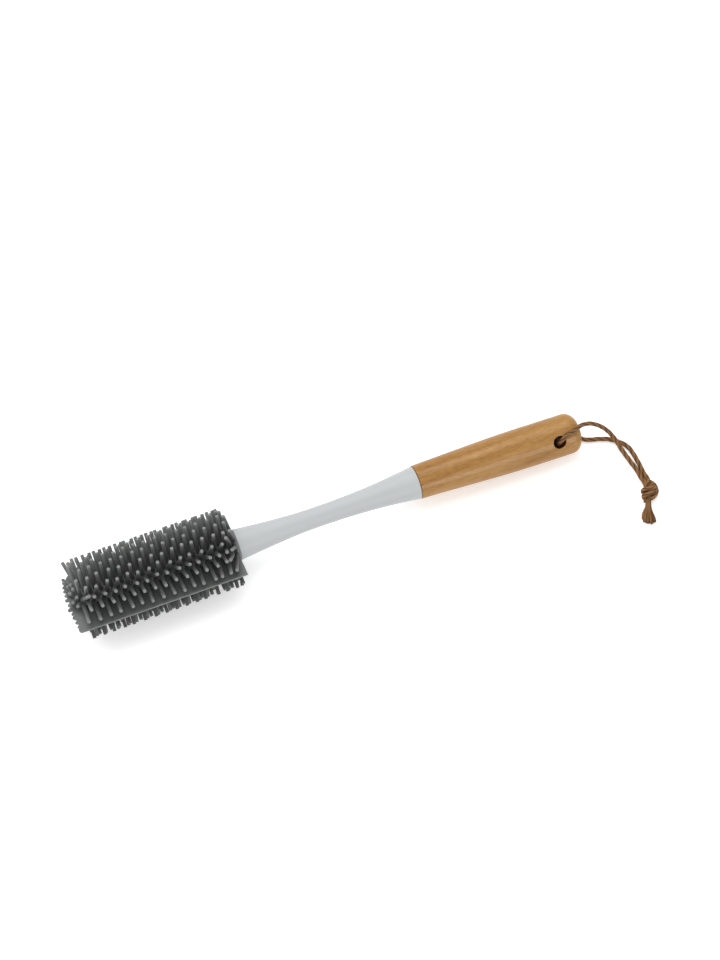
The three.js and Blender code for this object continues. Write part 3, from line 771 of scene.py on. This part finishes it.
class BRUSH_OT_cord_tails(bpy.types.Operator):
    """Frays the cord's two loose ends into one fan of yarns"""

    bl_idname = "brush.cord_tails"
    bl_label = "Frayed tails"

    def execute(self, context):
        settings = context.scene.brush_cord
        draw = random.Random(YARN_SEED)
        start, rings, sides = 4.4 * MM, 18, 8
        # Alternate yarns are painted darker, as painted shade between the yarns.
        shades = (0.45, 1.0, 0.7, 0.9)
        # In millimetres: how much further the middle yarns reach, how unevenly, and a yarn's radius.
        bulge, ragged, thin, thick = 2.3, 0.2, 0.55, 0.74
        # The share of the tails' length at which the yarns fan out, how suddenly, and their waves.
        opening, suddenness, wave_size, waves = 0.58, 10, 0.2, 6
        # The cut ends are narrower, and painted darker as painted shade.
        cut_radius, cut_shade = 0.75, 0.6
        yarns = 2 * settings.tail_yarns
        points, faces, corners, levels = [], [], [], []
        for yarn in range(yarns):
            spot = math.sqrt((yarn + 0.5) / yarns)
            angle = yarn * math.pi * (3 - math.sqrt(5))
            across, rise = spot * math.cos(angle), spot * math.sin(angle)
            further = bulge * (1 - across**4) + draw.uniform(-ragged, ragged)
            length = settings.tail_length + further * MM
            thickness = draw.uniform(thin, thick) * MM
            shade = shades[yarn % len(shades)]
            wave = draw.uniform(0, 2 * math.pi)
            first = len(points)
            for ring in range(rings):
                share = ring / (rings - 1)
                cut = ring == rings - 1
                fan = 1 / (1 + math.exp(-(share - opening) * suddenness))
                wander = wave_size * fan * math.sin(wave + waves * share)
                # In millimetres: how far the fan drifts aside, how far it opens, and its height.
                drift = 0.05 + 0.55 * share**3
                half_width = 1.15 + 2.9 * fan
                half_height = 0.85 + 0.5 * fan
                middle = 3.2 - 1.1 * min(1, 1.5 * share)
                x = start + length * share
                y = (drift + across * half_width + wander) * MM
                z = (middle - KNOT_CENTRE[2] + rise * half_height) * MM
                radius = thickness * (0.85 + 0.2 * fan) * (cut_radius if cut else 1)
                for i in range(sides):
                    turn = 2 * math.pi * i / sides
                    points.append((x, y + radius * math.cos(turn), z + radius * math.sin(turn)))
                levels.extend([shade * (cut_shade if cut else 1)] * sides)
            along = [ring / rings for ring in range(rings)]
            around = [yarn + i / sides / settings.plies for i in range(sides + 1)]
            yarn_faces, yarn_corners = tube_faces(first, along, around, (0, 0))
            faces += yarn_faces
            corners += yarn_corners
        tails = cord_piece("cord_tail_ends", points, faces, corners, levels)
        nodes = ("cord_tail_near", "cord_tail_far")
        lay_in_frame(tails, knot_matrix(), waxed_cotton, "cord_cotton", *nodes)
        return {"FINISHED"}


class BRUSH_OT_sleeve(bpy.types.Operator):
    """Turns the head's sleeve, with its round tip and its collar"""

    bl_idname = "brush.sleeve"
    bl_label = "Sleeve"

    def execute(self, context):
        settings = context.scene.brush_head
        sides, rim_round = 64, 0.25 * MM
        radius = settings.sleeve_radius
        dome = arc((0, 0), radius, math.pi, math.pi / 2, steps=8)
        profile = [(DOME_END + x * DOME_SQUEEZE, r) for x, r in dome]
        rim_centre = (COLLAR_END - rim_round, settings.collar_radius - rim_round)
        # A soft step leads from the sleeve to the collar.
        profile += [
            (SLEEVE_END - 1.0 * MM, radius),
            (COLLAR_START, radius + 1.0 * MM),
            (COLLAR_START + 0.8 * MM, settings.collar_radius - 0.6 * MM),
            (COLLAR_START + 1.4 * MM, settings.collar_radius - 0.1 * MM),
            *arc(rim_centre, rim_round, math.pi / 2, 0, steps=4),
            (COLLAR_END, settings.sleeve_bore),
            (DOME_END - 0.3 * MM, settings.sleeve_bore),
            (DOME_END - 0.3 * MM, 0),
        ]
        sleeve = turned("silicone_sleeve", profile, sides)
        # The sleeve's level: painted shade among the bristles, paler round the dome, and painted light on
        # the collar.
        wear_and_shade_at = (
            (DOME_END, 0.9),
            (DOME_END + 3 * MM, 0.0),
            (COLLAR_START - 1.0 * MM, 0.0),
            (COLLAR_START + 1.0 * MM, 0.92),
            (COLLAR_END, 1.0),
        )
        mark(sleeve, "wear_and_shade", [np.interp(v.co.x, *zip(*wear_and_shade_at)) for v in sleeve.data.vertices])
        smoothed(sleeve)
        lay_in_frame(sleeve, brush_matrix(), moulded_silicone, "silicone", "head_tip", "head_collar")
        return {"FINISHED"}


def upright_bristle(settings):
    """One bristle on +Z from the sleeve's wall: flared at its root, tapered, with a flat end."""
    sides = 8
    height = settings.tip_radius - settings.sleeve_radius
    radius = settings.bristle_radius
    # Heights and radii from inside the sleeve's wall to the chamfered end.
    stations = (
        (-0.6 * MM, 1.75 * radius),
        (0.35 * MM, 1.3 * radius),
        (1.6 * MM, 1.12 * radius),
        (0.5 * height, radius),
        (0.982 * height, 0.97 * radius),
        (height, 0.86 * radius),
    )
    bpy.ops.object.select_all(action="DESELECT")
    bpy.ops.mesh.primitive_circle_add(
        vertices=sides, radius=stations[0][1], location=(0, 0, stations[0][0])
    )
    bristle = bpy.context.object
    bpy.ops.object.transform_apply()
    bpy.ops.object.mode_set(mode="EDIT")
    for (low, wide), (high, narrow) in zip(stations, stations[1:]):
        step = {"value": (0, 0, high - low)}
        bpy.ops.mesh.extrude_region_move(TRANSFORM_OT_translate=step)
        taper = narrow / wide
        bpy.ops.transform.resize(value=(taper, taper, 1))
    bpy.ops.mesh.edge_face_add()
    close_mesh()
    smoothed(bristle, BRISTLE_EDGE)
    return bristle


def leaning(points, height, heading, lean, curl):
    """Points of an upright bristle made this high and laid over towards a heading, by a lean at its
    root and a curl."""
    least_curl = 0.01
    curl = curl if abs(curl) > least_curl else least_curl
    share = np.clip(points[:, 2] / points[:, 2].max(), 0, 1)
    tilt = lean + curl * share
    shift = height / curl * (math.cos(lean) - np.cos(tilt))
    rise = height / curl * (np.sin(tilt) - math.sin(lean)) + np.minimum(points[:, 2], 0)
    forward, aside = math.cos(heading), math.sin(heading)
    ahead = points[:, 0] * forward + points[:, 1] * aside
    beside = points[:, 1] * forward - points[:, 0] * aside
    reach = shift + ahead * np.cos(tilt)
    return np.column_stack(
        [
            reach * forward - beside * aside,
            reach * aside + beside * forward,
            rise - ahead * np.sin(tilt),
        ]
    )


def square_axes(outward):
    """Axes with +X along the brush and +Z in a direction square to it."""
    return Matrix(((1, 0, 0), outward.cross((1, 0, 0)), outward)).transposed()


def row_of_bristles(settings, upper, row, draw):
    """The places of a row's bristles, with the heading and angle of each one's lean and its curl.

    A heading of 0 is towards the grip, and of half a turn towards the tip of the head. The collar
    pushes the last bristles towards the tip.
    """
    push, push_length = 9, 10.4 * MM
    lean_spread, aside_spread, curl_spread = 1.0 if upper else 1.7, 1.0, 2.0
    number = row if upper else -row
    comb_start, comb_end = COMBED_ROWS.get(number, (0, 0))
    shifted = row % 2 == 0
    first = settings.first_bristle + (settings.bristle_pitch / 2 if shifted else 0)
    for i in range(settings.row_bristles + (0 if shifted else 1)):
        place = min(first + i * settings.bristle_pitch, settings.last_root)
        pushed = max(1 - (settings.last_root - place) / push_length, 0)
        lean = LEANING_ROWS.get(number, 0) - push * pushed**3
        aside = comb_start + (comb_end - comb_start) * i / settings.row_bristles
        lean, aside, curl = BENT_BRISTLES.get((number, i), (lean, aside, 0))
        lean += draw.gauss(0, lean_spread)
        aside += draw.gauss(0, aside_spread)
        curl = (curl if lean > 0 else -curl) + draw.gauss(0, curl_spread)
        angle = math.radians(math.hypot(lean, aside))
        yield place, math.atan2(aside, lean), angle, math.radians(curl)


class BRUSH_OT_bristles(bpy.types.Operator):
    """Grows the rows of bristles, each a little uneven, in four sets round the sleeve"""

    bl_idname = "brush.bristles"
    bl_label = "Bristles"

    def execute(self, context):
        settings = context.scene.brush_head
        draw = random.Random(BRISTLE_SEED)
        table_rows, dome_lean, dome_turn = 2, 0.1, 6
        matrix = brush_matrix()
        template = upright_bristle(settings)
        upright = np.array([v.co for v in template.data.vertices])
        shares = np.clip(upright[:, 2] / upright[:, 2].max(), 0, 1)
        sleeve = settings.sleeve_radius

        def grow(root, axes, height, wear_and_shade, heading, lean, curl=0.0):
            copy = template.copy()
            copy.data = template.data.copy()
            context.scene.collection.objects.link(copy)
            points = leaning(upright, height, heading, lean, curl)
            copy.data.vertices.foreach_set("co", points.astype(np.float32).ravel())
            mark(copy, "wear_and_shade", wear_and_shade[0] + (wear_and_shade[1] - wear_and_shade[0]) * shares)
            stand = axes.to_4x4()
            stand.translation = root
            copy.data.transform(stand)
            return copy

        fin_below = settings.fin_angle + math.pi
        above = settings.fin_angle, settings.upper_rows, settings.upper_spacing, settings.upper_tips
        below = fin_below, settings.lower_rows, settings.lower_spacing, settings.tip_radius
        # Each half is counted from the fin where it starts, and its first set of rows stands there.
        sets = (
            ("upper_near", above, True),
            ("upper_far", above, False),
            ("lower_far", below, True),
            ("lower_near", below, False),
        )
        for name, half, first_set in sets:
            fin, rows, spacing, tips = half
            upper = half is above
            # The bristles under the fins are painted darker, as painted shade.
            tip_wear_and_shade = 1.0 if upper else UNDERSIDE_SHADE
            middle = (rows + 1) / 2
            copies = []
            for row in range(1, rows + 1):
                if (row <= middle) != first_set:
                    continue
                outward = radial(fin + math.pi / 2 + (row - middle) * spacing)
                axes = square_axes(outward)
                # The rows that lie on the table are a little shorter.
                reach = tips if abs(row - middle) < table_rows else settings.upper_tips
                for i, (place, *lay) in enumerate(row_of_bristles(settings, upper, row, draw)):
                    root = Vector((place, 0, 0)) + outward * sleeve
                    # The first roots of a row are painted paler, as painted light.
                    wear_and_shade = LIT_FIRST_ROOTS.get(i, 0) * tip_wear_and_shade, tip_wear_and_shade
                    copies.append(grow(root, axes, reach - sleeve, wear_and_shade, *lay))
            on_dome = [short for short in DOME_BRISTLES if (short[1] < 90) == first_set]
            for tilt, turn, reach in on_dome:
                tilt = math.radians(tilt)
                outward = radial(fin + math.radians(turn)) * math.sin(tilt) - Vector((math.cos(tilt), 0, 0))
                aside = outward.cross((0, 0, 1)).normalized()
                axes = Matrix((aside, outward.cross(aside), outward)).transposed()
                root = Vector((DOME_END, 0, 0)) + Vector((DOME_SQUEEZE, 1, 1)) * outward * sleeve
                lean = abs(draw.gauss(0, dome_lean))
                heading = draw.uniform(0, dome_turn)
                # The roots on the dome are painted paler, as painted light.
                wear_and_shade = LIT_DOME_ROOTS * tip_wear_and_shade, tip_wear_and_shade
                copies.append(grow(root, axes, reach * MM - sleeve, wear_and_shade, heading, lean))
            bristles = joined(f"silicone_bristles_{name}", copies)
            lay_in_frame(bristles, matrix, moulded_silicone, "silicone", f"bristles_{name}")
        bpy.data.objects.remove(template)
        return {"FINISHED"}


def tip_edge(across, corner, settings):
    """Where the plate's edge at the tip lies along the axis, at a distance across from the axis."""
    bow = settings.tip_bow * ((across / settings.fin_radius) ** 2 - 1)
    past = max(across - (settings.fin_radius - corner), 0)
    return bow + corner - math.sqrt(max(corner**2 - past**2, 0))


class BRUSH_OT_wiper_plate(bpy.types.Operator):
    """Cuts the flat wiper plate, which makes both fins and runs toothed round the tip"""

    bl_idname = "brush.wiper_plate"
    bl_label = "Wiper plate"

    def wear_and_shade_at(self, settings, x, y, z):
        """The plate's level: wear and painted highlight on its rim, painted shade by the sleeve, paler
        ends.
        """
        if abs(y) < settings.fin_thickness / 2 - MERGE_DISTANCE:
            return RIM_WEAR_AND_HIGHLIGHT
        from_axis, levels = zip(*PLATE_SHADE)
        along, ends = zip(*PLATE_END_PALER)
        return max(np.interp(abs(z) / MM, from_axis, levels), np.interp(x / MM, along, ends))

    def execute(self, context):
        settings = context.scene.brush_head
        reach, end = settings.fin_radius, settings.fin_end
        root = settings.sleeve_radius - 0.4 * MM
        beside_collar = settings.collar_radius + 0.3 * MM
        edge_round, tooth_step, first_notch = 0.18 * MM, 0.33 * MM, 0.3 * MM
        near_steps, far_steps = 8, 14
        near, far = settings.near_corner, settings.far_corner
        outline = [(end, beside_collar), (end, reach)]
        for share in np.linspace(0, math.pi / 2, near_steps):
            across = settings.near_teeth + (reach - settings.near_teeth) * math.cos(share)
            outline.append((tip_edge(across, near, settings), across))
        teeth = np.arange(settings.near_teeth, -settings.far_teeth, -tooth_step)[1:]
        for across in teeth:
            phase = max(abs(across) - first_notch, 0) / settings.tooth_pitch
            notch = settings.tooth_depth * (1 - abs(math.sin(math.pi * phase)))
            outline.append((tip_edge(abs(across), near if across > 0 else far, settings) + notch, across))
        for share in np.linspace(math.pi / 2, 0, far_steps):
            across = settings.far_teeth + (reach - settings.far_teeth) * math.cos(share)
            outline.append((tip_edge(across, far, settings), -across))
        outline += [(end, -reach), (end, -beside_collar), (SLEEVE_END, -beside_collar)]
        in_dome = arc((0, 0), root, 1.5 * math.pi, 0.5 * math.pi, steps=10)
        outline += [(SLEEVE_END, -root), *[(DOME_END + x * DOME_SQUEEZE, r) for x, r in in_dome]]
        outline += [(SLEEVE_END, root), (SLEEVE_END, beside_collar), (end, beside_collar)]
        plate = drawn_line("silicone_wiper_plate", outline)
        bpy.ops.mesh.remove_doubles(threshold=MERGE_DISTANCE)
        bpy.ops.mesh.edge_face_add()
        step = {"value": (0, settings.fin_thickness, 0)}
        bpy.ops.mesh.extrude_region_move(TRANSFORM_OT_translate=step)
        bpy.ops.mesh.select_all(action="SELECT")
        bpy.ops.transform.translate(value=(0, -settings.fin_thickness / 2, 0))
        for along, _ in PLATE_END_PALER:
            bpy.ops.mesh.select_all(action="SELECT")
            bpy.ops.mesh.bisect(plane_co=(along * MM, 0, 0), plane_no=(1, 0, 0))
        for across, _ in PLATE_SHADE[1:-1]:
            for side in (-1, 1):
                bpy.ops.mesh.select_all(action="SELECT")
                bpy.ops.mesh.bisect(plane_co=(0, 0, side * across * MM), plane_no=(0, 0, 1))
        close_mesh()
        alone(plate)
        bevel = plate.modifiers.new("rounded_edges", "BEVEL")
        bevel.width, bevel.segments, bevel.use_clamp_overlap = edge_round, 2, False
        bpy.ops.object.modifier_apply(modifier=bevel.name)
        smoothed(plate)
        # The plate's level: wear and painted highlight on the rim, painted shade towards the sleeve.
        mark(plate, "wear_and_shade", [self.wear_and_shade_at(settings, *v.co) for v in plate.data.vertices])
        matrix = brush_matrix() @ square_axes(radial(settings.fin_angle)).to_4x4()
        nodes = ("wiper_fin_near", "wiper_fin_far")
        lay_in_frame(plate, matrix, moulded_silicone, "silicone", *nodes)
        return {"FINISHED"}


class BRUSH_OT_neck(bpy.types.Operator):
    """Turns the waisted neck, with its core in the head and its spigot in the grip"""

    bl_idname = "brush.neck"
    bl_label = "Neck"

    def execute(self, context):
        core_radius, spigot_radius, spigot_length = 4.4 * MM, 5.4 * MM, 26.0 * MM
        edge_round, chamfer, rings, sides = 0.3 * MM, 0.6 * MM, 56, 96
        waist = [tuple(p) for p in smooth_line(NECK_WAIST, rings) * MM]
        near_edge = (NECK_START + edge_round, waist[0][1] - edge_round)
        far_edge = (NECK_END - edge_round, waist[-1][1] - edge_round)
        profile = [(CORE_START, 0), (CORE_START, core_radius), (NECK_START, core_radius)]
        profile += arc(near_edge, edge_round, math.pi, math.pi / 2, steps=4)
        profile += waist[1:-1]
        profile += arc(far_edge, edge_round, math.pi / 2, 0, steps=4)
        profile += [
            (NECK_END, spigot_radius),
            (NECK_END + spigot_length - chamfer, spigot_radius),
            (NECK_END + spigot_length, spigot_radius - chamfer),
            (NECK_END + spigot_length, 0),
        ]
        neck = turned("plastic_neck", profile, sides)
        smoothed(neck)
        lay_in_frame(neck, brush_matrix(), moulded_polypropylene, "neck_plastic", "neck")
        return {"FINISHED"}


def open_cross_hole(piece, settings):
    """Opens the cord's hole across the grip, with rounded mouths, in place of a patch of its wall."""
    patch_half, patch_turn = 6.2 * MM, math.radians(30)
    blend_steps, rim_steps = 4, 5
    out = radial(settings.hole_angle)
    across = Vector((1, 0, 0)).cross(out)
    mesh = bmesh.new()
    mesh.from_mesh(piece.data)
    # The wall of the hole is marked for painted shade.
    painted_hole_shade = mesh.verts.layers.float.new("painted_hole_shade")
    for side in (1, -1):
        patch = set()
        for face in mesh.faces:
            middle = face.calc_center_median() - Vector((settings.hole_place, 0, 0))
            high = middle.dot(out) * side
            turn = abs(math.atan2(middle.dot(across), high))
            if high > settings.socket_radius and abs(middle.x) < patch_half and turn < patch_turn:
                patch.add(face)
        edge = {v for face in patch for v in face.verts if not patch.issuperset(v.link_faces)}
        places = {v: (v.co.x - settings.hole_place, v.co.dot(across)) for v in edge}
        ring = sorted(edge, key=lambda v: math.atan2(places[v][1], places[v][0]))
        starts = [places[v] for v in ring]
        bearings = [math.atan2(w, x) for x, w in starts]
        bmesh.ops.delete(mesh, geom=list(patch), context="FACES")
        mouth = settings.hole_radius + settings.rim_round
        levels = [(i / blend_steps, mouth, 0.0) for i in range(1, blend_steps + 1)]
        for i in range(1, rim_steps + 1):
            turn = math.pi / 2 * i / rim_steps
            radius = mouth - settings.rim_round * math.sin(turn)
            levels.append((1, radius, settings.rim_round * (1 - math.cos(turn))))
        levels.append((1, settings.hole_radius, None))
        for share, radius, drop in levels:
            inner = []
            for (x, w), bearing in zip(starts, bearings):
                x += (radius * math.cos(bearing) - x) * share
                w += (radius * math.sin(bearing) - w) * share
                high = 0 if drop is None else math.sqrt(settings.radius**2 - w * w) - drop
                at = Vector((settings.hole_place + x, 0, 0)) + across * w + out * high * side
                vertex = mesh.verts.new(at)
                vertex[painted_hole_shade] = float(radius == settings.hole_radius)
                inner.append(vertex)
            for i, vertex in enumerate(ring):
                mesh.faces.new((vertex, ring[i - 1], inner[i - 1], inner[i]))
            ring = inner
    bmesh.ops.remove_doubles(mesh, verts=mesh.verts, dist=MERGE_DISTANCE)
    bmesh.ops.recalc_face_normals(mesh, faces=mesh.faces)
    mesh.to_mesh(piece.data)
    mesh.free()


def bend_grip(piece, settings):
    """Turns the grip gently aside from the neck. Its socket stays straight."""
    margin = 0.1 * MM
    for vertex in piece.data.vertices:
        x, y, z = vertex.co
        along = x - GRIP_START
        in_socket = math.hypot(y, z) < settings.socket_radius + margin
        if in_socket and along < settings.socket_length + margin:
            continue
        bent = min(max(along, 0), settings.bend_length)
        straight = along - bent
        angle = settings.bend * bent / settings.bend_length
        axis_x = GRIP_START + bent + straight * math.cos(angle)
        axis_y = -bent * angle / 2 - straight * math.sin(angle)
        vertex.co = (axis_x + y * math.sin(angle), axis_y + y * math.cos(angle), z)


class BRUSH_OT_grip(bpy.types.Operator):
    """Turns the wooden grip and opens its cross hole"""

    bl_idname = "brush.grip"
    bl_label = "Grip"

    def execute(self, context):
        settings = context.scene.brush_grip
        edge_round, swell_rings, straight_rings, sides = 0.4 * MM, 36, 14, 96
        swell = [tuple(p) for p in smooth_line(GRIP_SWELL, swell_rings) * MM]
        butt = (BUTT_END - settings.butt_round, settings.radius - settings.butt_round)
        straight = np.linspace(swell[-1][0], butt[0], straight_rings + 1)[1:-1]
        bottom = GRIP_START + settings.socket_length
        edge = (GRIP_START + edge_round, swell[0][1] - edge_round)
        profile = [
            (bottom, 0),
            (bottom, settings.socket_radius),
            (GRIP_START, settings.socket_radius),
            *arc(edge, edge_round, math.pi, math.pi / 2, steps=4),
            *swell[1:],
            *[(x, settings.radius) for x in straight],
            *arc(butt, settings.butt_round, math.pi / 2, 0, steps=10),
            (BUTT_END, 0),
        ]
        grip = turned("wooden_grip", profile, sides)
        grip.data.transform(Matrix.Rotation(math.pi / 2 - settings.hole_angle, 4, "X"))
        open_cross_hole(grip, settings)
        bend_grip(grip, settings)
        smoothed(grip)
        lay_in_frame(grip, brush_matrix(), oiled_beech, "grip_wood", "grip")
        return {"FINISHED"}


OPERATORS = (
    BRUSH_OT_stage,
    BRUSH_OT_cord_knot,
    BRUSH_OT_cord_tails,
    BRUSH_OT_cord_strands,
    BRUSH_OT_sleeve,
    BRUSH_OT_bristles,
    BRUSH_OT_wiper_plate,
    BRUSH_OT_neck,
    BRUSH_OT_grip,
)
SETTINGS = {
    "brush_head": HeadSettings,
    "brush_grip": GripSettings,
    "brush_cord": CordSettings,
    "brush_finish": FinishSettings,
    "brush_stage": StageSettings,
}


class VIEW3D_PT_bottle_brush(bpy.types.Panel):
    """Lists the brush's sizes and the operators that make its pieces"""

    bl_label = "Bottle brush"
    bl_space_type = "VIEW_3D"
    bl_region_type = "UI"
    bl_category = "Brush"

    def draw(self, context):
        for name, group in SETTINGS.items():
            box = self.layout.box()
            for prop in group.__annotations__:
                box.prop(getattr(context.scene, name), prop)
        for operator in OPERATORS:
            self.layout.operator(operator.bl_idname)


CLASSES = (*SETTINGS.values(), *OPERATORS, VIEW3D_PT_bottle_brush)


def register():
    for cls in CLASSES:
        bpy.utils.register_class(cls)
    for name, group in SETTINGS.items():
        setattr(bpy.types.Scene, name, bpy.props.PointerProperty(type=group))


def unregister():
    for name in SETTINGS:
        delattr(bpy.types.Scene, name)
    for cls in reversed(CLASSES):
        bpy.utils.unregister_class(cls)


def main():
    register()
    for operator in OPERATORS:
        area, name = operator.bl_idname.split(".")
        getattr(getattr(bpy.ops, area), name)()


if __name__ == "__main__":
    main()
